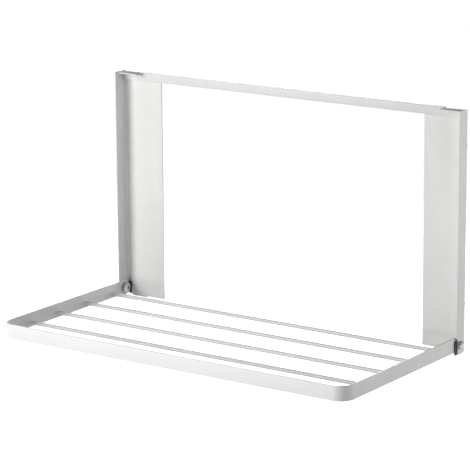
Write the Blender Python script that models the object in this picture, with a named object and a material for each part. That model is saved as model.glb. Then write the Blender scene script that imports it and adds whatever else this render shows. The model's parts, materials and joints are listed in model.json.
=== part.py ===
"""Wall mounted fold-down drying rack.

Frame of reference: metres, +Z up.  The wall is the plane Y = 0 and the room is on
the -Y side.  X = 0 is the middle of the rack and Z = 0 is the lower edge of the
two wall plates.  The shelf stands open, level with the floor.
"""
import math

import bmesh
import bpy
from mathutils import Matrix

# ---------------------------------------------------------------- driving sizes
WIDTH = 0.600            # over the outer faces of the two side flanges
HEIGHT = 0.350           # of the uprights
REACH = 0.3122           # from the back of the uprights to the shelf's front face
SHEET = 0.0016           # sheet steel of the uprights
PLATE_WIDTH = 0.0705     # wide leg of an upright, against the wall
FLANGE_DEPTH = 0.0246    # narrow leg of an upright, standing out from the wall
BEND_RADIUS = 0.003      # inside radius of the fold between the two legs
BAR_HEIGHT = 0.0215      # flat bar of the shelf, standing on edge
BAR_THICK = 0.003
CORNER_RADIUS = 0.022    # outside radius of the shelf's front corners
ROD_DIAMETER = 0.006
ROD_COUNT = 4
FIRST_ROD = 0.0484       # from the back of the uprights to the first rod
ROD_DROP = 0.0041        # rods lie this far below the middle of the flat bar
RAIL_HEIGHT = 0.013
RAIL_THICK = 0.0025
PIVOT_SETBACK = 0.0158   # from the back of the uprights to the pivot axis
PIVOT_HEIGHT = 0.0138
BOLT_DIAMETER = 0.006
FIT_GAP = 0.0003         # left between two pieces that touch

# tab folded in at the top of each upright, in front of the rail, and its grey pad
TAB_LENGTH = 0.036       # from the outer face inwards
TAB_DEPTH = 0.0119
TAB_OVERLAP = 0.0008     # the tab runs this far into the narrow leg
TAB_PAD_THICK = 0.0008

# wall bracket: a strip that hooks over the upright's top and carries its foot
STRIP_THICK = 0.002
STRIP_STANDOFF = 0.0026  # back of the uprights from the wall
STRIP_WIDTH = 0.026
HOOK_WIDTH = 0.0325
HOOK_THICK = 0.0016
HOOK_LIP = 0.0020        # the lip hangs this far down in front of the rail
HOOK_ROOT = 0.010        # the wide part of the hook runs this far down the strip
HOOK_OVERLAP = 0.0005
HOOK_SINK = 0.0008       # the hook lies this far below the rail's top edge
SCREW_HEIGHTS = (0.060, 0.290)
SCREW_DIAMETER = 0.004
SCREW_HEAD = 0.008
SCREW_LENGTH = 0.032
SCREW_TAPER = 0.005
RECESS_WIDTH = 0.0040    # cross recess in the screw's head
RECESS_SLOT = 0.0010
RECESS_DEPTH = 0.0012
PLUG_DIAMETER = 0.008
PLUG_LENGTH = 0.030
PLUG_COLLAR = 0.0008     # the collar stands out this far round the plug
PLUG_SINK = 0.0024       # plugs are set this deep in the wall
PLUG_NOSE = 0.005
RIB_COUNT = 3
RIB_DEPTH = 0.0006
RIB_START = 0.003        # from the collar to the first rib
RIB_SLOPE = 0.001

# pivot pieces, from the outside of the flange to the inside of the arm
NUT_DIAMETER = 0.0120
NUT_HEIGHT = 0.0056
NUT_RIM = 0.0018
NUT_THREAD_DEPTH = 0.0038
BUSH_SLEEVE = 0.0086
FRICTION_WASHER = 0.0165
FRICTION_WASHER_THICK = 0.0006
STEEL_WASHER = 0.0176
STEEL_WASHER_THICK = 0.0010
BOLT_HEAD = 0.0150
BOLT_HEAD_HEIGHT = 0.0036
BOLT_HEAD_RIM = 0.0008
SOCKET_WIDTH = 0.004
SOCKET_DEPTH = 0.0026
CLEARANCE = 0.0003       # radial play in a hole
END_CHAMFER = 0.0004     # on the ends of the rods and of the bolts

# nylon stop: a cheek beside the arm and a rear wall that the open arm's heel leans on
CHEEK_THICK = 0.0014
CHEEK_DEPTH = 0.0265     # from the back of the uprights to the cheek's front edge
CHEEK_LOW = -0.0006      # lower and upper ends of the front edge
CHEEK_HIGH = 0.0213
CHEEK_CORNER = 0.0022
CHEEK_SOLE = 0.0006      # height of the lower edge behind the front part
CHEEK_NOSE = 0.0045      # length of the lower front part
CHEEK_SLOPE = 0.0040
CHEEK_TOP_SLOPE = 0.0090
STOP_WALL_TOP = 0.0198
STOP_WALL_INNER = 0.2918  # X of the rear wall's inner end

# lower end of an upright's narrow leg
FOOT_RADIUS = 0.0090
FRONT_SETBACK = 0.0025
SETBACK_HEIGHT = 0.0220

# ---------------------------------------------------------------- derived places
HALF = WIDTH / 2
FLANGE_INNER = HALF - SHEET
PLATE_BACK = -STRIP_STANDOFF
PLATE_FRONT = PLATE_BACK - SHEET
FLANGE_FRONT = PLATE_BACK - FLANGE_DEPTH
PIVOT_Y = PLATE_BACK - PIVOT_SETBACK
PIVOT_Z = PIVOT_HEIGHT
CHEEK_OUTER = FLANGE_INNER - FIT_GAP
CHEEK_INNER = CHEEK_OUTER - CHEEK_THICK
ARM_OUTER = CHEEK_INNER - FIT_GAP
ARM_INNER = ARM_OUTER - BAR_THICK
ARM_BACK = PIVOT_Y + BAR_HEIGHT / 2
SHELF_FRONT = PLATE_BACK - REACH
ROD_PITCH = (REACH - BAR_THICK / 2 - FIRST_ROD) / ROD_COUNT
ROD_Z = PIVOT_Z - ROD_DROP
RAIL_BACK = PLATE_FRONT - FIT_GAP
RAIL_FRONT = RAIL_BACK - RAIL_THICK
HOOK_INNER_X = HALF - TAB_LENGTH
LIP_FRONT = RAIL_FRONT - FIT_GAP - HOOK_THICK
TAB_BACK = LIP_FRONT - FIT_GAP
TAB_FRONT = TAB_BACK - TAB_DEPTH
TAB_HIGH = HEIGHT - TAB_PAD_THICK - FIT_GAP
TAB_LOW = TAB_HIGH - SHEET
BEND_START = HALF - SHEET - BEND_RADIUS
ARC_STEPS = 8
CORNER_STEPS = 16
SEGMENTS = 28
SMALL_SEGMENTS = 16
ROD_SEGMENTS = 24
BEYOND = 0.004           # a cutter reaches this far past what it cuts
SCREW_BEYOND = 0.001


# ---------------------------------------------------------------- small helpers
def clear_scene():
    for item in list(bpy.data.objects):
        bpy.data.objects.remove(item, do_unlink=True)


def make_material(name, colour, roughness, metallic):
    material = bpy.data.materials.new(name)
    material.use_nodes = True
    shader = material.node_tree.nodes["Principled BSDF"]
    shader.inputs["Base Color"].default_value = (*colour, 1.0)
    shader.inputs["Roughness"].default_value = roughness
    shader.inputs["Metallic"].default_value = metallic
    return material


def add_object(name, mesh_data, material=None, place=(0.0, 0.0, 0.0)):
    """Turn a bmesh into a named object whose faces point out."""
    bmesh.ops.recalc_face_normals(mesh_data, faces=mesh_data.faces)
    mesh = bpy.data.meshes.new(name)
    mesh_data.to_mesh(mesh)
    mesh_data.free()
    item = bpy.data.objects.new(name, mesh)
    item.location = place
    bpy.context.collection.objects.link(item)
    if material is not None:
        mesh.materials.append(material)
    return item


def arc(centre, radius, start_degrees, end_degrees, steps):
    """Points along a round stretch, both ends included."""
    points = []
    for step in range(steps + 1):
        angle = math.radians(start_degrees + (end_degrees - start_degrees) * step / steps)
        points.append((centre[0] + radius * math.cos(angle), centre[1] + radius * math.sin(angle)))
    return points


def prism(points, plane, low, high):
    """Extrude a closed outline lying in plane XY, YZ or XZ between two heights."""
    mesh_data = bmesh.new()
    place = {
        "XY": lambda a, b: (a, b, low),
        "YZ": lambda a, b: (low, a, b),
        "XZ": lambda a, b: (a, low, b),
    }[plane]
    travel = {"XY": (0, 0, high - low), "YZ": (high - low, 0, 0), "XZ": (0, high - low, 0)}[plane]
    corners = [mesh_data.verts.new(place(a, b)) for a, b in points]
    face = mesh_data.faces.new(corners)
    result = bmesh.ops.extrude_face_region(mesh_data, geom=[face])
    moved = [part for part in result["geom"] if isinstance(part, bmesh.types.BMVert)]
    bmesh.ops.translate(mesh_data, vec=travel, verts=moved)
    return mesh_data


def box(low, high):
    outline = [(low[0], low[1]), (high[0], low[1]), (high[0], high[1]), (low[0], high[1])]
    return prism(outline, "XY", low[2], high[2])


def turned(profile, axis, segments=SEGMENTS):
    """Turn a closed (along, radius) profile about the X or Y axis."""
    mesh_data = bmesh.new()
    rings = []
    for step in range(segments):
        angle = 2 * math.pi * step / segments
        ring = []
        for along, radius in profile:
            across = (radius * math.cos(angle), radius * math.sin(angle))
            point = (along, *across) if axis == "X" else (across[0], along, across[1])
            ring.append(mesh_data.verts.new(point))
        rings.append(ring)
    for step in range(segments):
        here = rings[step]
        there = rings[(step + 1) % segments]
        for index in range(len(profile)):
            after = (index + 1) % len(profile)
            mesh_data.faces.new((here[index], here[after], there[after], there[index]))
    bmesh.ops.remove_doubles(mesh_data, verts=mesh_data.verts, dist=1e-7)
    bmesh.ops.dissolve_degenerate(mesh_data, dist=1e-8, edges=mesh_data.edges)
    return mesh_data


def shade_round(item, sharp_degrees=35.0):
    item.data.shade_smooth()
    item.data.set_sharp_from_angle(angle=math.radians(sharp_degrees))


def boolean(item, tool, operation):
    """Cut or join with a second object, which is hidden from renders."""
    tool.hide_render = True
    tool.display_type = "WIRE"
    modifier = item.modifiers.new(tool.name, "BOOLEAN")
    modifier.operation = operation
    modifier.solver = "EXACT"
    modifier.object = tool


def drill_x(item, name, low_x, high_x, centre_y, centre_z, diameter):
    radius = diameter / 2
    profile = [(low_x, 0.0), (low_x, radius), (high_x, radius), (high_x, 0.0)]
    tool = add_object(name, turned(profile, "X"), place=(0.0, centre_y, centre_z))
    boolean(item, tool, "DIFFERENCE")


def side_range(side, first, second):
    """A span of X on the side where side is +1 (right) or -1 (left)."""
    return sorted((side * first, side * second))


# ---------------------------------------------------------------- the wall frame
def upright_outline(side):
    """Plan of the folded sheet: wide leg on the wall, narrow leg to the room."""
    outer_radius = BEND_RADIUS + SHEET
    inner_end = HALF - PLATE_WIDTH
    bend = (HALF - outer_radius, PLATE_BACK - outer_radius)
    points = [(inner_end, PLATE_BACK)]
    points += arc(bend, outer_radius, 90, 0, ARC_STEPS)
    points += [(HALF, FLANGE_FRONT), (FLANGE_INNER, FLANGE_FRONT)]
    points += arc(bend, BEND_RADIUS, 0, 90, ARC_STEPS)
    points += [(inner_end, PLATE_FRONT)]
    return [(side * x, y) for x, y in points]


def foot_cutter_outline():
    """Side outline of what is cut off the narrow leg's lower end."""
    outside_y = PLATE_BACK + BEYOND
    centre = (PLATE_BACK - FOOT_RADIUS, FOOT_RADIUS)
    cut_front = FLANGE_FRONT + FRONT_SETBACK
    easing = (cut_front - FRONT_SETBACK, SETBACK_HEIGHT)
    points = [(outside_y, FOOT_RADIUS)]
    points += arc(centre, FOOT_RADIUS, 0, -90, ARC_STEPS)
    points += [(cut_front + FRONT_SETBACK, 0.0)]
    points += arc((cut_front + FRONT_SETBACK, FRONT_SETBACK), FRONT_SETBACK, 270, 180, ARC_STEPS // 2)
    points += arc(easing, FRONT_SETBACK, 0, 90, ARC_STEPS // 2)
    points += [(FLANGE_FRONT - BEYOND, SETBACK_HEIGHT + FRONT_SETBACK)]
    points += [(FLANGE_FRONT - BEYOND, -BEYOND), (outside_y, -BEYOND)]
    return points


def build_upright(name, side, material):
    item = add_object(name, prism(upright_outline(side), "XY", 0.0, HEIGHT), material)

    low_x, high_x = side_range(side, BEND_START, HALF + BEYOND)
    cutter = add_object(name + "_foot_cutter", prism(foot_cutter_outline(), "YZ", low_x, high_x))
    boolean(item, cutter, "DIFFERENCE")

    # notch that lets the wall bracket's hook lie below the top edge
    notch_depth = HOOK_SINK + HOOK_THICK + FIT_GAP
    low_x, high_x = side_range(side, HOOK_INNER_X - FIT_GAP, HOOK_INNER_X + HOOK_WIDTH + FIT_GAP)
    low = (low_x, RAIL_FRONT - BEYOND, HEIGHT - notch_depth)
    high = (high_x, PLATE_BACK + BEYOND, HEIGHT + BEYOND)
    boolean(item, add_object(name + "_notch_cutter", box(low, high)), "DIFFERENCE")

    low_x, high_x = side_range(side, FLANGE_INNER - BEYOND, HALF + BEYOND)
    hole = BOLT_DIAMETER + 2 * CLEARANCE
    drill_x(item, name + "_pivot_drill", low_x, high_x, PIVOT_Y, PIVOT_Z, hole)

    # tab folded in from the narrow leg
    low_x, high_x = side_range(side, HOOK_INNER_X, FLANGE_INNER + TAB_OVERLAP)
    tab = box((low_x, TAB_FRONT, TAB_LOW), (high_x, TAB_BACK, TAB_HIGH))
    boolean(item, add_object(name + "_tab_tool", tab), "UNION")
    shade_round(item)


def build_top_pad(side_name, side, material):
    """Thin pad on the tab, level with the top of the upright."""
    low_x, high_x = side_range(side, HOOK_INNER_X, FLANGE_INNER - FIT_GAP)
    low = (low_x, TAB_FRONT, HEIGHT - TAB_PAD_THICK)
    high = (high_x, TAB_BACK, HEIGHT)
    add_object(f"top_pad_{side_name}", box(low, high), material)


def build_top_rail(material):
    """Flat bar across both uprights, notched at its ends for the two hooks."""
    end = FLANGE_INNER - BEND_RADIUS - FIT_GAP
    notch_depth = HOOK_SINK + HOOK_THICK + FIT_GAP
    notch = HOOK_INNER_X - FIT_GAP
    low = HEIGHT - RAIL_HEIGHT
    shoulder = HEIGHT - notch_depth
    outline = [(-end, low), (end, low), (end, shoulder), (notch, shoulder), (notch, HEIGHT)]
    outline += [(-notch, HEIGHT), (-notch, shoulder), (-end, shoulder)]
    add_object("top_rail", prism(outline, "XZ", RAIL_FRONT, RAIL_BACK), material)


def build_wall_bracket(name, side, material):
    """Strip on the wall with a ledge under the upright and a hook over its top."""
    foot_top = -FIT_GAP
    foot_low = foot_top - HOOK_THICK
    hook_top = HEIGHT - HOOK_SINK
    hook_low = hook_top - HOOK_THICK
    lip_back = RAIL_FRONT - FIT_GAP
    lip_low = hook_low - HOOK_LIP
    strip_front = -STRIP_THICK
    strip_top = hook_low + HOOK_OVERLAP

    strip = [(0.0, foot_low), (0.0, strip_top), (strip_front, strip_top)]
    strip += [(strip_front, foot_top), (PLATE_FRONT, foot_top), (PLATE_FRONT, foot_low)]
    low_x, high_x = side_range(side, HOOK_INNER_X, HOOK_INNER_X + STRIP_WIDTH)
    item = add_object(name, prism(strip, "YZ", low_x, high_x), material)

    hook = [(0.0, hook_low - HOOK_ROOT), (0.0, hook_top), (LIP_FRONT, hook_top)]
    hook += [(LIP_FRONT, lip_low), (lip_back, lip_low), (lip_back, hook_low)]
    hook += [(strip_front, hook_low), (strip_front, hook_low - HOOK_ROOT)]
    low_x, high_x = side_range(side, HOOK_INNER_X, HOOK_INNER_X + HOOK_WIDTH)
    boolean(item, add_object(name + "_hook_tool", prism(hook, "YZ", low_x, high_x)), "UNION")

    # countersunk holes for the wall screws
    head = SCREW_HEAD / 2 + CLEARANCE
    shank = SCREW_DIAMETER / 2 + CLEARANCE
    start = strip_front - SCREW_BEYOND
    profile = [(start, 0.0), (start, head), (strip_front, head)]
    profile += [(0.0, shank), (SCREW_BEYOND, shank), (SCREW_BEYOND, 0.0)]
    for index, height in enumerate(SCREW_HEIGHTS):
        place = (side * (HOOK_INNER_X + STRIP_WIDTH / 2), 0.0, height)
        tool = add_object(f"{name}_countersink_{index + 1}", turned(profile, "Y"), place=place)
        boolean(item, tool, "DIFFERENCE")


def build_wall_fixing(side_name, side, index, height, screw_material, plug_material):
    """One countersunk screw and the plug that it spreads in the wall."""
    place = (side * (HOOK_INNER_X + STRIP_WIDTH / 2), 0.0, height)
    shank = SCREW_DIAMETER / 2
    head = SCREW_HEAD / 2
    head_front = -STRIP_THICK
    tip = head_front + SCREW_LENGTH
    profile = [(head_front, 0.0), (head_front, head), (0.0, shank)]
    profile += [(tip - SCREW_TAPER, shank), (tip, 0.0)]
    screw_name = f"wall_screw_{side_name}_{index}"
    screw = add_object(screw_name, turned(profile, "Y", SMALL_SEGMENTS), screw_material, place)

    # cross recess in the head
    low = (-RECESS_WIDTH / 2, head_front - SCREW_BEYOND, -RECESS_SLOT / 2)
    high = (RECESS_WIDTH / 2, head_front + RECESS_DEPTH, RECESS_SLOT / 2)
    for turn in (0, 90):
        arm = box(low, high)
        bmesh.ops.rotate(arm, verts=arm.verts, matrix=Matrix.Rotation(math.radians(turn), 3, "Y"))
        boolean(screw, add_object(f"{screw.name}_recess_{turn}", arm, place=place), "DIFFERENCE")
    shade_round(screw)

    outer = PLUG_DIAMETER / 2
    inner = shank + CLEARANCE
    start = PLUG_SINK
    end = start + PLUG_LENGTH
    collar_end = start + 1.5 * PLUG_COLLAR
    ribs_start = start + RIB_START
    rib_pitch = (end - PLUG_NOSE - ribs_start) / RIB_COUNT
    groove = outer - RIB_DEPTH
    profile = [(start, inner), (start, outer + PLUG_COLLAR), (collar_end, outer)]
    for rib in range(RIB_COUNT):
        rib_start = ribs_start + rib * rib_pitch
        profile += [(rib_start, outer), (rib_start + RIB_SLOPE, groove)]
        profile += [(rib_start + rib_pitch - RIB_SLOPE, groove)]
    profile += [(end - PLUG_NOSE, outer), (end, groove), (end, inner)]
    plug_name = f"wall_plug_{side_name}_{index}"
    plug = add_object(plug_name, turned(profile, "Y", SMALL_SEGMENTS), plug_material, place)
    shade_round(plug)


# ---------------------------------------------------------------- the shelf
def shelf_outline():
    """Plan of the flat bar, bent into a U with round front corners."""
    outer_centre = ARM_OUTER - CORNER_RADIUS
    centre_y = SHELF_FRONT + CORNER_RADIUS
    inner_radius = CORNER_RADIUS - BAR_THICK
    points = [(-ARM_OUTER, ARM_BACK)]
    points += arc((-outer_centre, centre_y), CORNER_RADIUS, 180, 270, CORNER_STEPS)
    points += arc((outer_centre, centre_y), CORNER_RADIUS, 270, 360, CORNER_STEPS)
    points += [(ARM_OUTER, ARM_BACK), (ARM_INNER, ARM_BACK)]
    points += arc((outer_centre, centre_y), inner_radius, 360, 270, CORNER_STEPS)
    points += arc((-outer_centre, centre_y), inner_radius, 270, 180, CORNER_STEPS)
    points += [(-ARM_INNER, ARM_BACK)]
    return points


def build_shelf(material):
    half_bar = BAR_HEIGHT / 2
    mesh_data = prism(shelf_outline(), "XY", -half_bar, half_bar)
    bmesh.ops.translate(mesh_data, vec=(0.0, -PIVOT_Y, 0.0), verts=mesh_data.verts)
    place = (0.0, PIVOT_Y, PIVOT_Z)
    frame = add_object("shelf_frame", mesh_data, material, place)

    # the upper rear corners are round about the pivot; the lower ones stay square as heels
    outline = arc((0.0, 0.0), half_bar, 0, 90, 2 * ARC_STEPS)
    outline += [(0.0, half_bar + BEYOND), (half_bar + BEYOND, half_bar + BEYOND)]
    outline += [(half_bar + BEYOND, 0.0)]
    cutter = add_object("shelf_end_cutter", prism(outline, "YZ", -HALF, HALF), place=place)
    boolean(frame, cutter, "DIFFERENCE")
    hole = BUSH_SLEEVE + 2 * CLEARANCE
    for side_name, side in (("left", -1), ("right", 1)):
        low_x, high_x = side_range(side, ARM_INNER - BEYOND, ARM_OUTER + BEYOND)
        drill_x(frame, f"shelf_drill_{side_name}", low_x, high_x, PIVOT_Y, PIVOT_Z, hole)
    shade_round(frame)
    return frame


def build_rods(frame, material):
    half_length = ARM_INNER - FIT_GAP
    radius = ROD_DIAMETER / 2
    start = [(half_length - END_CHAMFER, radius), (half_length, radius - END_CHAMFER), (half_length, 0.0)]
    profile = [(-along, distance) for along, distance in reversed(start)] + start
    for index in range(ROD_COUNT):
        distance = PLATE_BACK - FIRST_ROD - index * ROD_PITCH
        rod = add_object(f"rod_{index + 1}", turned(profile, "X", ROD_SEGMENTS), material)
        rod.parent = frame
        rod.location = (0.0, distance - PIVOT_Y, ROD_Z - PIVOT_Z)
        shade_round(rod)


# ---------------------------------------------------------------- the pivots
def turned_piece(name, side, profile, material, place, parent=None):
    """A round piece on the pivot axis, from a profile drawn for the right side."""
    mirrored = [(side * along, radius) for along, radius in profile]
    item = add_object(name, turned(mirrored, "X"), material, place)
    item.parent = parent
    shade_round(item)
    return item


def dome_profile(base, height, radius, direction):
    """Quarter ellipse from the rim to the tip of a dome."""
    points = []
    for step in range(1, ARC_STEPS):
        angle = math.pi / 2 * step / ARC_STEPS
        points.append((base + direction * height * math.sin(angle), radius * math.cos(angle)))
    points.append((base + direction * height, 0.0))
    return points


def washer_profile(low, high, bore, radius):
    return [(low, bore), (low, radius), (high, radius), (high, bore)]


def build_pivot(side_name, side, frame, nylon, steel):
    """Bolt, two washers, bush and domed nut on one side."""
    place = (0.0, PIVOT_Y, PIVOT_Z)
    shank = BOLT_DIAMETER / 2
    bore = shank + CLEARANCE

    profile = washer_profile(ARM_INNER + FIT_GAP, ARM_OUTER - FIT_GAP, bore, BUSH_SLEEVE / 2)
    turned_piece(f"pivot_bush_{side_name}", side, profile, nylon, (0.0, 0.0, 0.0), frame)

    friction_high = ARM_INNER - FIT_GAP
    friction_low = friction_high - FRICTION_WASHER_THICK
    profile = washer_profile(friction_low, friction_high, bore, FRICTION_WASHER / 2)
    turned_piece(f"friction_washer_{side_name}", side, profile, nylon, place)

    washer_high = friction_low - FIT_GAP
    washer_low = washer_high - STEEL_WASHER_THICK
    profile = washer_profile(washer_low, washer_high, bore, STEEL_WASHER / 2)
    turned_piece(f"pivot_washer_{side_name}", side, profile, steel, place)

    # bolt with a domed head towards the middle of the rack
    nut_base = HALF + FIT_GAP
    shank_end = nut_base + NUT_THREAD_DEPTH - FIT_GAP
    head_base = washer_low - FIT_GAP
    rim_end = head_base - BOLT_HEAD_RIM
    head_radius = BOLT_HEAD / 2
    profile = [(shank_end, 0.0), (shank_end, shank - END_CHAMFER), (shank_end - END_CHAMFER, shank)]
    profile += [(head_base, shank), (head_base, head_radius), (rim_end, head_radius)]
    profile += dome_profile(rim_end, BOLT_HEAD_HEIGHT - BOLT_HEAD_RIM, head_radius, -1)
    bolt = turned_piece(f"pivot_bolt_{side_name}", side, profile, steel, place)
    hexagon = arc((0.0, 0.0), SOCKET_WIDTH / math.sqrt(3), 0, 300, 5)
    head_top = head_base - BOLT_HEAD_HEIGHT
    low_x, high_x = side_range(side, head_top - BEYOND, head_top + SOCKET_DEPTH)
    socket = prism(hexagon, "YZ", low_x, high_x)
    cutter = add_object(f"pivot_socket_cutter_{side_name}", socket, place=place)
    boolean(bolt, cutter, "DIFFERENCE")

    nut_radius = NUT_DIAMETER / 2
    nut_rim_end = nut_base + NUT_RIM
    profile = [(nut_base, bore), (nut_base, nut_radius), (nut_rim_end, nut_radius)]
    profile += dome_profile(nut_rim_end, NUT_HEIGHT - NUT_RIM, nut_radius, 1)
    profile += [(nut_base + NUT_THREAD_DEPTH, 0.0), (nut_base + NUT_THREAD_DEPTH, bore)]
    turned_piece(f"cap_nut_{side_name}", side, profile, steel, place)


def stop_plan():
    """Plan of the nylon stop on the right side: the cheek, then the rear wall."""
    wall_back = PLATE_FRONT - FIT_GAP
    bend = (BEND_START, PLATE_BACK - BEND_RADIUS - SHEET)
    front = PLATE_BACK - CHEEK_DEPTH
    wall_front = ARM_BACK + FIT_GAP
    points = [(CHEEK_OUTER, front), (CHEEK_INNER, front), (CHEEK_INNER, wall_front)]
    points += [(STOP_WALL_INNER, wall_front), (STOP_WALL_INNER, wall_back)]
    points += arc(bend, BEND_RADIUS - FIT_GAP, 90, 0, ARC_STEPS)
    return points


def stop_side_outline():
    """Side outline of the nylon stop, whose lower rear follows the upright's round foot."""
    front = PLATE_BACK - CHEEK_DEPTH
    radius = CHEEK_CORNER
    foot = (PLATE_BACK - FOOT_RADIUS - CHEEK_SOLE, FOOT_RADIUS + CHEEK_SOLE)
    points = arc(foot, FOOT_RADIUS, 0, -90, ARC_STEPS)
    points += [(front + CHEEK_NOSE + CHEEK_SLOPE, CHEEK_SOLE), (front + CHEEK_NOSE, CHEEK_LOW)]
    points += arc((front + radius, CHEEK_LOW + radius), radius, 270, 180, ARC_STEPS // 2)
    points += arc((front + radius, CHEEK_HIGH - radius), radius, 180, 90, ARC_STEPS // 2)
    points += [(PLATE_BACK - CHEEK_TOP_SLOPE, CHEEK_HIGH), (PLATE_BACK - CHEEK_SOLE, STOP_WALL_TOP)]
    return points


def build_pivot_stop(side_name, side, nylon):
    """Moulding round the pivot that parts the arm from the upright and stops it level."""
    name = f"pivot_stop_{side_name}"
    plan = [(side * x, y) for x, y in stop_plan()]
    stop = add_object(name, prism(plan, "XY", CHEEK_LOW - BEYOND, CHEEK_HIGH + BEYOND), nylon)
    low_x, high_x = side_range(side, STOP_WALL_INNER - BEYOND, HALF + BEYOND)
    outline = add_object(name + "_outline_tool", prism(stop_side_outline(), "YZ", low_x, high_x))
    boolean(stop, outline, "INTERSECT")
    low_x, high_x = side_range(side, CHEEK_INNER - BEYOND, CHEEK_OUTER + BEYOND)
    hole = BOLT_DIAMETER + 2 * CLEARANCE
    drill_x(stop, name + "_drill", low_x, high_x, PIVOT_Y, PIVOT_Z, hole)
    shade_round(stop)


# ---------------------------------------------------------------- assembly
def main():
    clear_scene()
    white = make_material("white_powder_coat", (0.80, 0.80, 0.785), 0.42, 0.0)
    nylon = make_material("black_nylon", (0.020, 0.020, 0.021), 0.5, 0.0)
    rubber = make_material("grey_rubber", (0.56, 0.56, 0.555), 0.75, 0.0)
    steel = make_material("plated_steel", (0.62, 0.62, 0.61), 0.28, 1.0)
    zinc = make_material("zinc_steel", (0.55, 0.56, 0.57), 0.38, 1.0)
    plug_grey = make_material("plug_nylon", (0.42, 0.43, 0.44), 0.5, 0.0)

    frame = build_shelf(white)
    build_rods(frame, white)
    build_top_rail(white)
    for side_name, side in (("left", -1), ("right", 1)):
        build_upright(f"{side_name}_upright", side, white)
        build_top_pad(side_name, side, rubber)
        build_wall_bracket(f"wall_bracket_{side_name}", side, white)
        build_pivot(side_name, side, frame, nylon, steel)
        build_pivot_stop(side_name, side, nylon)
        for index, height in enumerate(SCREW_HEIGHTS):
            build_wall_fixing(side_name, side, index + 1, height, zinc, plug_grey)


main()
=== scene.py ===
"""Looks of the wall mounted fold-down drying rack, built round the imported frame."""
import json
import math

import bmesh
import bpy
from mathutils import Matrix, Vector


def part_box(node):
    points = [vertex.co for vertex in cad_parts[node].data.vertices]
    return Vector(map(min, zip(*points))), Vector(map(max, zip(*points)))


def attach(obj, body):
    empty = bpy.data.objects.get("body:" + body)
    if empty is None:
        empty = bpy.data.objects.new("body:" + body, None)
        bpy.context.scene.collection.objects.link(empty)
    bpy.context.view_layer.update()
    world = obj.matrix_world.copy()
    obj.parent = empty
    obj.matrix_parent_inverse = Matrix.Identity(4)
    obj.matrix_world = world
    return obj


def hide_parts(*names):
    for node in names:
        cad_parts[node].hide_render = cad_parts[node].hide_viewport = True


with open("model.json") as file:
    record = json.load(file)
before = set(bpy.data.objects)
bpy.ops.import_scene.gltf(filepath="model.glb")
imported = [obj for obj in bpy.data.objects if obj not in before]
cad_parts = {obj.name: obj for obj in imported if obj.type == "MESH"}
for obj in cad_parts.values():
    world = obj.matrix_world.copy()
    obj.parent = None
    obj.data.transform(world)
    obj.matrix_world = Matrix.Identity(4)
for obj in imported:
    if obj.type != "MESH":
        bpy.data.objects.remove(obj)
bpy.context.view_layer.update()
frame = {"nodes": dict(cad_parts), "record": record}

# ------------------------------------------------------------------ sizes, metres
EDGE_SHEET = 0.00035       # rounding of the sheet steel's edges under the coat
EDGE_BAR = 0.00060
EDGE_RAIL = 0.00045
EDGE_BRACKET = 0.00035
EDGE_MOULDING = 0.00025
EDGE_PAD = 0.00015
EDGE_ROD = 0.0003
EDGE_BOLT = 0.00012
MERGE = 0.0000001          # vertices nearer than this are one
MESH_MERGE = 0.000002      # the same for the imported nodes' own meshes
FLAT_DEGREES = 0.8         # facets flatter than this to each other are one face
BEVEL_DEGREES = 40.0       # edges sharper than this are rounded
WELD_SIZE = 0.0013         # leg of the fillet weld round a rod's end
WELD_REACH = 0.00028       # from the rod's end to the arm's face
WELD_SUNK = 0.0002         # the weld runs this far into the rod
WELD_STEPS = 7
BORE_RADIUS = 0.0033       # of the washers, bushes and nuts
SHANK_RADIUS = 0.0030      # of the pivot bolts
SHANK_CHAMFER = 0.0004
HEAD_HEIGHT = 0.0036
HEAD_RIM = 0.0008
HEAD_CORNER = 0.00025
SOCKET_WIDTH = 0.0040
SOCKET_DEPTH = 0.0026
NUT_RIM = 0.0018
NUT_DEPTH = 0.0038         # of the threaded bore
NUT_GROOVE = 0.00025
SCREW_SHANK = 0.0020
SCREW_ROOT = 0.74          # the thread's root, as a share of the shank's radius
SCREW_PITCH = 0.0018
SCREW_HEAD_DEPTH = 0.0020
SCREW_PLAIN = 0.004        # plain shank under the head
RECESS_REACH = 0.0020      # half length of the cross recess's arms
RECESS_HALF_SLOT = 0.00045
RECESS_DEPTH = 0.0013
PLUG_COLLAR = 0.0008       # the collar stands out this far
PLUG_BORE = 0.0023
PLUG_RIBS = 7
PLUG_FIRST_RIB = 0.003
PLUG_NOSE = 0.005
SLIT_HALF_WIDTH = 0.0005
BEYOND = 0.002             # a cutter reaches this far past what it cuts
SMOOTH_STEPS = 12          # facets of a quarter turn on a round piece
RING_STEPS = 96
ROD_STEPS = 64

# camera
CAMERA_PLACE = (2.0323, -3.0542, 1.0093)
CAMERA_YAW = 0.609344
CAMERA_PITCH = 0.234956
CAMERA_ROLL = -0.007423
SENSOR_MM = 36.0
LENS_MM = 195.94

FLOOR_Z = -0.55
FLOOR_HALF = 14.0
LIGHTS_AIM = (0.0, -0.1, 0.1)

# soft boxes: name, place, size in metres, power
WORLD_STRENGTH = 0.01
SOFT_BOXES = (
    ("key", (-1.1, -1.9, 0.9), 1.0, 25.2),
    ("low_key", (-1.3, -1.9, 0.35), 1.0, 13.2),
    ("low_front", (0.0, -1.4, -0.1), 0.7, 5.4),
    ("side", (1.6, 1.2, 0.2), 0.8, 10.0),
    ("far_side", (3.0, 0.6, -0.4), 1.0, 16.5),
    ("upper_side", (2.4, -0.3, 1.2), 0.8, 13.5),
    ("behind", (-1.5, 2.4, 1.0), 1.4, 43.5),
)
FLOOR_GLOW = 1.00          # lifts the floor to the white of a lit studio sweep


# ------------------------------------------------------------------ node helpers
def new_material(name, metallic=0.0):
    material = bpy.data.materials.new(name)
    material.use_nodes = True
    tree = material.node_tree
    shader = tree.nodes["Principled BSDF"]
    shader.inputs["Metallic"].default_value = metallic
    return material, tree, shader


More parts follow.
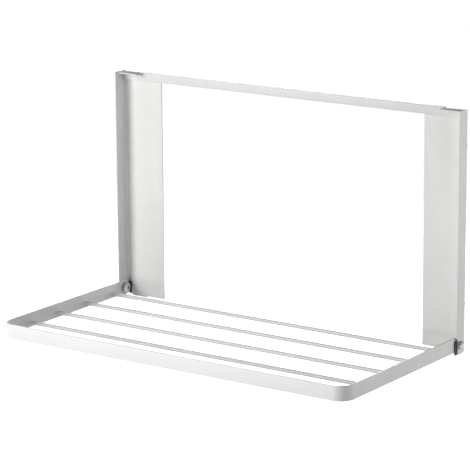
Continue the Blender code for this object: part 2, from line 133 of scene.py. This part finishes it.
def object_coordinates(tree):
    return tree.nodes.new("ShaderNodeTexCoord").outputs["Object"]


def noise(tree, vector, scale, detail=3.0, roughness=0.5):
    node = tree.nodes.new("ShaderNodeTexNoise")
    node.inputs["Scale"].default_value = scale
    node.inputs["Detail"].default_value = detail
    node.inputs["Roughness"].default_value = roughness
    tree.links.new(vector, node.inputs["Vector"])
    return node.outputs["Fac"]


def stretched(tree, vector, scale):
    node = tree.nodes.new("ShaderNodeMapping")
    node.inputs["Scale"].default_value = scale
    tree.links.new(vector, node.inputs["Vector"])
    return node.outputs["Vector"]


def remap(tree, value, low_in, high_in, low_out, high_out):
    node = tree.nodes.new("ShaderNodeMapRange")
    node.inputs["From Min"].default_value = low_in
    node.inputs["From Max"].default_value = high_in
    node.inputs["To Min"].default_value = low_out
    node.inputs["To Max"].default_value = high_out
    tree.links.new(value, node.inputs["Value"])
    return node.outputs["Result"]


def multiply(tree, first, second):
    node = tree.nodes.new("ShaderNodeMath")
    node.operation = "MULTIPLY"
    tree.links.new(first, node.inputs[0])
    tree.links.new(second, node.inputs[1])
    return node.outputs["Value"]


def mix_colours(tree, factor, first, second):
    """Blend two colours, each either a tuple or another node's output."""
    node = tree.nodes.new("ShaderNodeMix")
    node.data_type = "RGBA"
    tree.links.new(factor, node.inputs["Factor"])
    for socket, colour in ((node.inputs[6], first), (node.inputs[7], second)):
        if isinstance(colour, tuple):
            socket.default_value = (*colour, 1.0)
        else:
            tree.links.new(colour, socket)
    return node.outputs[2]


def bump(tree, height, strength, distance, below=None):
    node = tree.nodes.new("ShaderNodeBump")
    node.inputs["Strength"].default_value = strength
    node.inputs["Distance"].default_value = distance
    tree.links.new(height, node.inputs["Height"])
    if below is not None:
        tree.links.new(below, node.inputs["Normal"])
    return node.outputs["Normal"]


def edge_mask(tree, coords, low=0.515, high=0.56):
    """Convex edges, broken up so that wear isn't an even line."""
    pointiness = tree.nodes.new("ShaderNodeNewGeometry").outputs["Pointiness"]
    edges = remap(tree, pointiness, low, high, 0.0, 1.0)
    patches = remap(tree, noise(tree, coords, 90.0, 4.0), 0.42, 0.62, 0.0, 1.0)
    return multiply(tree, edges, patches)


# ------------------------------------------------------------------ materials
def powder_coat(name, colour, worn, rough_low, rough_high):
    """Satin powder coat: orange peel, a fine grain, cloudy tone and faint edge wear."""
    material, tree, shader = new_material(name)
    coords = object_coordinates(tree)
    darker = tuple(channel * 0.965 for channel in colour)
    cloudy = remap(tree, noise(tree, coords, 14.0, 3.0), 0.35, 0.65, 0.0, 1.0)
    tone = mix_colours(tree, cloudy, darker, colour)
    speck = remap(tree, noise(tree, coords, 1400.0, 2.0), 0.30, 0.70, 0.0, 0.05)
    grained = mix_colours(tree, speck, tone, worn)
    wear = remap(tree, edge_mask(tree, coords), 0.0, 1.0, 0.0, 0.22)
    finished = mix_colours(tree, wear, grained, worn)
    tree.links.new(finished, shader.inputs["Base Color"])
    peel = noise(tree, coords, 620.0, 2.0, 0.45)
    grain = noise(tree, coords, 2600.0, 2.0)
    tree.links.new(remap(tree, peel, 0.3, 0.7, rough_low, rough_high), shader.inputs["Roughness"])
    fine = bump(tree, grain, 0.25, 0.00002)
    tree.links.new(bump(tree, peel, 0.40, 0.00006, fine), shader.inputs["Normal"])
    shader.inputs["IOR"].default_value = 1.5
    return material


def moulded(name, colour, lighter, rough_low, rough_high, pebble, pebble_depth):
    """Moulded plastic or rubber with a pebbled skin and a dusty bloom."""
    material, tree, shader = new_material(name)
    coords = object_coordinates(tree)
    bloom = remap(tree, noise(tree, coords, 110.0, 4.0), 0.35, 0.70, 0.0, 0.55)
    tone = mix_colours(tree, bloom, colour, lighter)
    wear = remap(tree, edge_mask(tree, coords), 0.0, 1.0, 0.0, 0.6)
    tree.links.new(mix_colours(tree, wear, tone, lighter), shader.inputs["Base Color"])
    skin = noise(tree, coords, pebble, 2.0)
    tree.links.new(remap(tree, skin, 0.3, 0.7, rough_low, rough_high), shader.inputs["Roughness"])
    tree.links.new(bump(tree, skin, 0.45, pebble_depth), shader.inputs["Normal"])
    return material


def plated(name, colour, darker, metallic, rough_low, rough_high, streak):
    """Plated steel turned on a lathe: fine rings and cloudy plating."""
    material, tree, shader = new_material(name, metallic)
    coords = object_coordinates(tree)
    cloudy = remap(tree, noise(tree, coords, 160.0, 4.0), 0.35, 0.68, 0.0, 1.0)
    tree.links.new(mix_colours(tree, cloudy, darker, colour), shader.inputs["Base Color"])
    lines = noise(tree, stretched(tree, coords, streak), 1.0, 3.0)
    tree.links.new(remap(tree, lines, 0.3, 0.7, rough_low, rough_high), shader.inputs["Roughness"])
    fine = bump(tree, noise(tree, coords, 3000.0, 2.0), 0.2, 0.00001)
    tree.links.new(bump(tree, lines, 0.2, 0.00001, fine), shader.inputs["Normal"])
    return material


def floor_material():
    material, tree, shader = new_material("pale_floor")
    coords = object_coordinates(tree)
    cloudy = remap(tree, noise(tree, coords, 1.2, 2.0), 0.3, 0.7, 0.0, 1.0)
    tone = mix_colours(tree, cloudy, (0.93, 0.93, 0.93), (0.95, 0.95, 0.95))
    tree.links.new(tone, shader.inputs["Base Color"])
    shader.inputs["Roughness"].default_value = 0.9
    shader.inputs["Specular IOR Level"].default_value = 0.1
    shader.inputs["Emission Color"].default_value = (1.0, 1.0, 1.0, 1.0)
    shader.inputs["Emission Strength"].default_value = FLOOR_GLOW
    return material


WHITE = powder_coat("white_powder_coat", (0.80, 0.797, 0.785), (0.86, 0.86, 0.85), 0.40, 0.52)
NYLON = moulded("black_nylon", (0.030, 0.030, 0.031), (0.060, 0.060, 0.062), 0.42, 0.60, 1500.0, 0.00003)
RUBBER = moulded("grey_rubber", (0.56, 0.56, 0.555), (0.62, 0.62, 0.615), 0.66, 0.88, 800.0, 0.00005)
PLUG = moulded("grey_nylon", (0.36, 0.37, 0.38), (0.46, 0.47, 0.48), 0.42, 0.58, 1500.0, 0.00003)
STEEL = plated("plated_steel", (0.58, 0.577, 0.57), (0.48, 0.477, 0.47), 0.45, 0.38, 0.52,
               (40.0, 1800.0, 1800.0))
ZINC = plated("zinc_plated_steel", (0.66, 0.67, 0.69), (0.50, 0.51, 0.53), 1.0, 0.30, 0.46,
              (1500.0, 40.0, 1500.0))


# ------------------------------------------------------------------ mesh helpers
def body_of(node):
    return next(body for body, members in frame["record"]["behaviour"]["bodies"].items() if node in members)


def show(piece, material, node):
    """Give a finished piece its material and let it stand for a CAD node."""
    piece.data.materials.clear()
    piece.data.materials.append(material)
    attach(piece, body_of(node))
    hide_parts(node)
    return piece


def link_mesh(name, mesh_data):
    bmesh.ops.recalc_face_normals(mesh_data, faces=mesh_data.faces)
    mesh = bpy.data.meshes.new(name)
    mesh_data.to_mesh(mesh)
    mesh_data.free()
    piece = bpy.data.objects.new(name, mesh)
    bpy.context.scene.collection.objects.link(piece)
    return piece


def apply_modifiers(piece):
    bpy.context.view_layer.update()
    evaluated = piece.evaluated_get(bpy.context.evaluated_depsgraph_get())
    mesh = bpy.data.meshes.new_from_object(evaluated)
    piece.modifiers.clear()
    piece.data = mesh


def shade(piece, degrees=32.0):
    piece.data.shade_smooth()
    piece.data.set_sharp_from_angle(angle=math.radians(degrees))


def round_edges(piece, width, segments=3):
    bevel = piece.modifiers.new("edges", "BEVEL")
    bevel.width = width
    bevel.segments = segments
    bevel.limit_method = "ANGLE"
    bevel.angle_limit = math.radians(BEVEL_DEGREES)
    bevel.use_clamp_overlap = True
    bevel.harden_normals = False
    apply_modifiers(piece)


def refined(node, width, material, segments=3):
    """The CAD node's own shape with rounded edges, in place of the bare facets."""
    source = frame["nodes"][node].data
    mesh_data = bmesh.new()
    mesh_data.from_mesh(source)
    bmesh.ops.remove_doubles(mesh_data, verts=mesh_data.verts, dist=MESH_MERGE)
    bmesh.ops.dissolve_limit(mesh_data, angle_limit=math.radians(FLAT_DEGREES), verts=mesh_data.verts,
                             edges=mesh_data.edges)
    for edge in mesh_data.edges:
        edge.smooth = True
    piece = link_mesh(node + "_shown", mesh_data)
    round_edges(piece, width, segments)
    shade(piece, BEVEL_DEGREES)
    return show(piece, material, node)


def turned(name, profile, axis, steps=RING_STEPS):
    """Turn a closed (along, radius) profile about the X or Y axis."""
    mesh_data = bmesh.new()
    rings = []
    for step in range(steps):
        angle = 2.0 * math.pi * step / steps
        across = (math.cos(angle), math.sin(angle))
        ring = []
        for along, radius in profile:
            first, second = radius * across[0], radius * across[1]
            ring.append(mesh_data.verts.new((along, first, second) if axis == "X" else (first, along, second)))
        rings.append(ring)
    for step in range(steps):
        here, there = rings[step], rings[(step + 1) % steps]
        for index in range(len(profile)):
            after = (index + 1) % len(profile)
            mesh_data.faces.new((here[index], here[after], there[after], there[index]))
    bmesh.ops.remove_doubles(mesh_data, verts=mesh_data.verts, dist=MERGE)
    return link_mesh(name, mesh_data)


def rounded(profile, corner_radius, steps=4):
    """Round every corner of a closed profile that is off the axis."""
    points = []
    count = len(profile)
    for index, corner in enumerate(profile):
        here = Vector(corner)
        before = Vector(profile[index - 1])
        after = Vector(profile[(index + 1) % count])
        if here.y < 1e-9:
            points.append(tuple(here))
            continue
        into = before - here
        out = after - here
        reach = min(corner_radius, into.length * 0.45, out.length * 0.45)
        start = here + into.normalized() * reach
        end = here + out.normalized() * reach
        for step in range(steps + 1):
            share = step / steps
            point = start * (1 - share) ** 2 + here * 2 * share * (1 - share) + end * share ** 2
            points.append(tuple(point))
    return points


def dome(base, height, radius, steps=SMOOTH_STEPS):
    points = []
    for step in range(1, steps):
        angle = math.pi / 2 * step / steps
        points.append((base + height * math.sin(angle), radius * math.cos(angle)))
    points.append((base + height, 0.0))
    return points


def move(piece, offset):
    piece.data.transform(Matrix.Translation(offset))


def cut(piece, cutters):
    """Take the cutters' shapes out of a piece, then drop the cutters."""
    for cutter in cutters:
        modifier = piece.modifiers.new("cut", "BOOLEAN")
        modifier.operation = "DIFFERENCE"
        modifier.solver = "EXACT"
        modifier.object = cutter
    apply_modifiers(piece)
    for cutter in cutters:
        bpy.data.objects.remove(cutter, do_unlink=True)


def hexagon_prism(name, across_flats, low, high):
    mesh_data = bmesh.new()
    corner = across_flats / math.sqrt(3.0)
    loop = []
    for step in range(6):
        angle = math.pi / 3.0 * step
        loop.append(mesh_data.verts.new((low, corner * math.cos(angle), corner * math.sin(angle))))
    face = mesh_data.faces.new(loop)
    grown = bmesh.ops.extrude_face_region(mesh_data, geom=[face])["geom"]
    tops = [part for part in grown if isinstance(part, bmesh.types.BMVert)]
    bmesh.ops.translate(mesh_data, vec=(high - low, 0.0, 0.0), verts=tops)
    return link_mesh(name, mesh_data)


def slab(name, low, high):
    mesh_data = bmesh.new()
    bmesh.ops.create_cube(mesh_data, size=1.0)
    centre = (Vector(low) + Vector(high)) / 2
    size = Vector(high) - Vector(low)
    bmesh.ops.scale(mesh_data, vec=size, verts=mesh_data.verts)
    bmesh.ops.translate(mesh_data, vec=centre, verts=mesh_data.verts)
    return link_mesh(name, mesh_data)


# ------------------------------------------------------------------ the rack
def sheet_and_bar():
    for node in ("left_upright", "right_upright"):
        refined(node, EDGE_SHEET, WHITE)
    refined("top_rail", EDGE_RAIL, WHITE)
    refined("shelf_frame", EDGE_BAR, WHITE, 4)
    for side_name in ("left", "right"):
        refined(f"wall_bracket_{side_name}", EDGE_BRACKET, WHITE)
        # the black pivot stops fill the gap behind each arm's rounded end and darken it: partly a real stop,
        # partly painted shade of that gap
        refined(f"pivot_stop_{side_name}", EDGE_MOULDING, NYLON)
        refined(f"top_pad_{side_name}", EDGE_PAD, RUBBER, 2)


def rod_nodes():
    return sorted(node for node in frame["nodes"] if node.startswith("rod_"))


def rods_and_welds():
    """Round rods, each with a small fillet weld where it meets an arm."""
    for node in rod_nodes():
        low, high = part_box(node)
        centre = (low + high) / 2
        radius = (high.z - low.z) / 2
        ends = [(low.x, 0.0), (low.x, radius), (high.x, radius), (high.x, 0.0)]
        rod = turned(node + "_shown", rounded(ends, EDGE_ROD), "X", ROD_STEPS)
        move(rod, (0.0, centre.y, centre.z))
        shade(rod)
        show(rod, WHITE, node)
        for side_name, side, end in (("left", -1, low.x), ("right", 1, high.x)):
            weld = fillet_weld(f"{node}_weld_{side_name}", radius, end + side * WELD_REACH, side, centre)
            weld.data.materials.append(WHITE)
            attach(weld, "shelf")


def fillet_weld(name, rod_radius, face_x, side, centre):
    """A ring of weld metal, hollow in section, whose leg wanders a little."""
    mesh_data = bmesh.new()
    rings = []
    for step in range(ROD_STEPS):
        angle = 2.0 * math.pi * step / ROD_STEPS
        leg = WELD_SIZE * (1.0 + 0.10 * math.sin(9.0 * angle + centre.y * 900.0))
        ring = [(face_x, rod_radius - WELD_SUNK), (face_x, rod_radius + leg)]
        for part in range(1, WELD_STEPS):
            turn = math.pi / 2.0 * part / WELD_STEPS
            along = leg * (1.0 - math.cos(turn))
            out = leg * (1.0 - math.sin(turn))
            ring.append((face_x - side * along, rod_radius + out))
        ring.append((face_x - side * leg, rod_radius - WELD_SUNK))
        circle = []
        for along, radius in ring:
            circle.append(mesh_data.verts.new((along, radius * math.cos(angle), radius * math.sin(angle))))
        rings.append(circle)
    for step in range(ROD_STEPS):
        here, there = rings[step], rings[(step + 1) % ROD_STEPS]
        for index in range(len(here)):
            after = (index + 1) % len(here)
            mesh_data.faces.new((here[index], here[after], there[after], there[index]))
    weld = link_mesh(name, mesh_data)
    move(weld, (0.0, centre.y, centre.z))
    shade(weld, 50.0)
    return weld


def mirrored_turn(name, side, profile, centre, steps=RING_STEPS):
    piece = turned(name, [(side * along, radius) for along, radius in profile], "X", steps)
    move(piece, (0.0, centre.y, centre.z))
    return piece


def washer_piece(node, side, bore, corner, material):
    """A flat ring with rounded rims, as wide and thick as its node."""
    low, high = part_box(node)
    inner, outer = sorted((abs(low.x), abs(high.x)))
    radius = (high.z - low.z) / 2
    ring = [(inner, bore), (inner, radius), (outer, radius), (outer, bore)]
    piece = mirrored_turn(node + "_shown", side, rounded(ring, corner), (low + high) / 2)
    shade(piece)
    show(piece, material, node)


def pivots():
    for side_name, side in (("left", -1), ("right", 1)):
        bolt(side_name, side)
        cap_nut(side_name, side)
        washer_piece(f"pivot_washer_{side_name}", side, BORE_RADIUS, 0.0003, STEEL)
        washer_piece(f"friction_washer_{side_name}", side, BORE_RADIUS, 0.0002, NYLON)
        washer_piece(f"pivot_bush_{side_name}", side, BORE_RADIUS, 0.0002, NYLON)


def bolt(side_name, side):
    """Domed head with a hexagon socket and a turned shank."""
    node = f"pivot_bolt_{side_name}"
    low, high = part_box(node)
    centre = (low + high) / 2
    head_top, shank_end = sorted((abs(low.x), abs(high.x)))
    head_radius = (high.z - low.z) / 2
    head_base = head_top + HEAD_HEIGHT
    rim_end = head_base - HEAD_RIM
    crown = [(-along, radius) for along, radius in dome(-rim_end, HEAD_HEIGHT - HEAD_RIM, head_radius)]
    profile = [(shank_end, 0.0), (shank_end, SHANK_RADIUS - SHANK_CHAMFER)]
    profile += [(shank_end - SHANK_CHAMFER, SHANK_RADIUS), (head_base, SHANK_RADIUS)]
    profile += [(head_base, head_radius - HEAD_CORNER), (head_base - HEAD_CORNER, head_radius)]
    profile += [(rim_end, head_radius)] + crown
    piece = mirrored_turn(node + "_shown", side, profile, centre)
    span = sorted((side * (head_top - BEYOND), side * (head_top + SOCKET_DEPTH)))
    socket = hexagon_prism("socket_tool", SOCKET_WIDTH, *span)
    move(socket, (0.0, centre.y, centre.z))
    cut(piece, [socket])
    round_edges(piece, EDGE_BOLT, 2)
    shade(piece)
    show(piece, STEEL, node)


def cap_nut(side_name, side):
    """Domed nut whose bore stops short of the dome."""
    node = f"cap_nut_{side_name}"
    low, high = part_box(node)
    centre = (low + high) / 2
    base, tip = sorted((abs(low.x), abs(high.x)))
    radius = (high.z - low.z) / 2
    rim_end = base + NUT_RIM
    profile = [(base, BORE_RADIUS), (base, radius - NUT_GROOVE), (base + NUT_GROOVE, radius)]
    profile += [(rim_end, radius)] + dome(rim_end, tip - base - NUT_RIM, radius)
    profile += [(base + NUT_DEPTH, 0.0), (base + NUT_DEPTH, BORE_RADIUS)]
    piece = mirrored_turn(node + "_shown", side, profile, centre)
    shade(piece, 28.0)
    show(piece, STEEL, node)


# ------------------------------------------------------------------ wall fixings
def wall_screw(node):
    """Countersunk head with a cross recess, and a threaded shank."""
    low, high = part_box(node)
    centre = (low + high) / 2
    head = (high.z - low.z) / 2
    front, tip = low.y, high.y
    root = SCREW_SHANK * SCREW_ROOT
    corner = 0.00015
    profile = [(front, 0.0), (front, head - corner), (front + corner, head)]
    profile += [(front + SCREW_HEAD_DEPTH, SCREW_SHANK)]
    crest = front + SCREW_HEAD_DEPTH + SCREW_PLAIN
    while crest < tip - 0.006:
        profile += [(crest, SCREW_SHANK), (crest + SCREW_PITCH * 0.35, root)]
        profile += [(crest + SCREW_PITCH * 0.65, root)]
        crest += SCREW_PITCH
    profile += [(tip - 0.005, SCREW_SHANK * 0.8), (tip, 0.0)]
    piece = turned(node + "_shown", profile, "Y", 48)
    move(piece, (centre.x, 0.0, centre.z))
    arms = []
    for turn in (45.0, 135.0):
        arm = slab("recess_tool", (-RECESS_REACH, -0.001, -RECESS_HALF_SLOT),
                   (RECESS_REACH, RECESS_DEPTH, RECESS_HALF_SLOT))
        arm.data.transform(Matrix.Rotation(math.radians(turn), 4, "Y"))
        move(arm, (centre.x, front, centre.z))
        arms.append(arm)
    cut(piece, arms)
    shade(piece)
    show(piece, ZINC, node)


def wall_plug(node):
    """Ribbed sleeve with a collar, split lengthways so that the screw can spread it."""
    low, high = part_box(node)
    centre = (low + high) / 2
    start, end = low.y, high.y
    length = end - start
    collar = (high.z - low.z) / 2
    outer = collar - PLUG_COLLAR
    profile = [(start, PLUG_BORE), (start, collar), (start + 0.0004, collar), (start + 0.0012, outer)]
    first = start + PLUG_FIRST_RIB
    pitch = (length - 0.009) / PLUG_RIBS
    for rib in range(PLUG_RIBS):
        at = first + rib * pitch
        profile += [(at, outer), (at + pitch * 0.25, outer - 0.0007), (at + pitch * 0.85, outer - 0.0002)]
    profile += [(end - PLUG_NOSE, outer), (end - 0.001, outer - 0.0012), (end, outer - 0.0016)]
    profile += [(end, PLUG_BORE)]
    piece = turned(node + "_shown", profile, "Y", 64)
    move(piece, (centre.x, 0.0, centre.z))
    slit = slab("slit_tool", (-0.006, first + BEYOND, -SLIT_HALF_WIDTH), (0.006, end + BEYOND, SLIT_HALF_WIDTH))
    move(slit, (centre.x, 0.0, centre.z))
    cut(piece, [slit])
    shade(piece)
    show(piece, PLUG, node)


def wall_fixings():
    for node in sorted(frame["nodes"]):
        if node.startswith("wall_screw"):
            wall_screw(node)
        elif node.startswith("wall_plug"):
            wall_plug(node)


# ------------------------------------------------------------------ studio
def place_lamp(name, light, place, aim):
    lamp = bpy.data.objects.new(name, light)
    lamp.location = place
    lamp.rotation_euler = (Vector(aim) - Vector(place)).to_track_quat("-Z", "Y").to_euler()
    bpy.context.scene.collection.objects.link(lamp)


def soft_box(name, place, aim, size, power):
    light = bpy.data.lights.new(name, "AREA")
    light.shape = "SQUARE"
    light.size = size
    light.energy = power
    place_lamp(name, light, place, aim)


def studio():
    scene = bpy.context.scene
    scene.view_settings.view_transform = "Standard"
    world = bpy.data.worlds.new("studio")
    world.use_nodes = True
    background = world.node_tree.nodes["Background"]
    background.inputs["Color"].default_value = (1.0, 1.0, 1.0, 1.0)
    background.inputs["Strength"].default_value = WORLD_STRENGTH
    scene.world = world
    for name, place, size, power in SOFT_BOXES:
        soft_box(name, place, LIGHTS_AIM, size, power)

    mesh_data = bmesh.new()
    bmesh.ops.create_grid(mesh_data, x_segments=8, y_segments=8, size=FLOOR_HALF)
    bmesh.ops.translate(mesh_data, vec=(0.0, 0.0, FLOOR_Z), verts=mesh_data.verts)
    floor = link_mesh("floor", mesh_data)
    floor.data.materials.append(floor_material())
    floor.visible_diffuse = False


def camera():
    lens = bpy.data.cameras.new("camera")
    lens.sensor_width = SENSOR_MM
    lens.lens = LENS_MM
    lens.clip_end = 100.0
    view = bpy.data.objects.new("camera", lens)
    turn = Matrix.Rotation(CAMERA_YAW, 4, "Z") @ Matrix.Rotation(math.pi / 2 - CAMERA_PITCH, 4, "X")
    view.matrix_world = Matrix.Translation(CAMERA_PLACE) @ turn @ Matrix.Rotation(CAMERA_ROLL, 4, "Z")
    bpy.context.scene.collection.objects.link(view)
    bpy.context.scene.camera = view


sheet_and_bar()
rods_and_welds()
pivots()
wall_fixings()
studio()
camera()
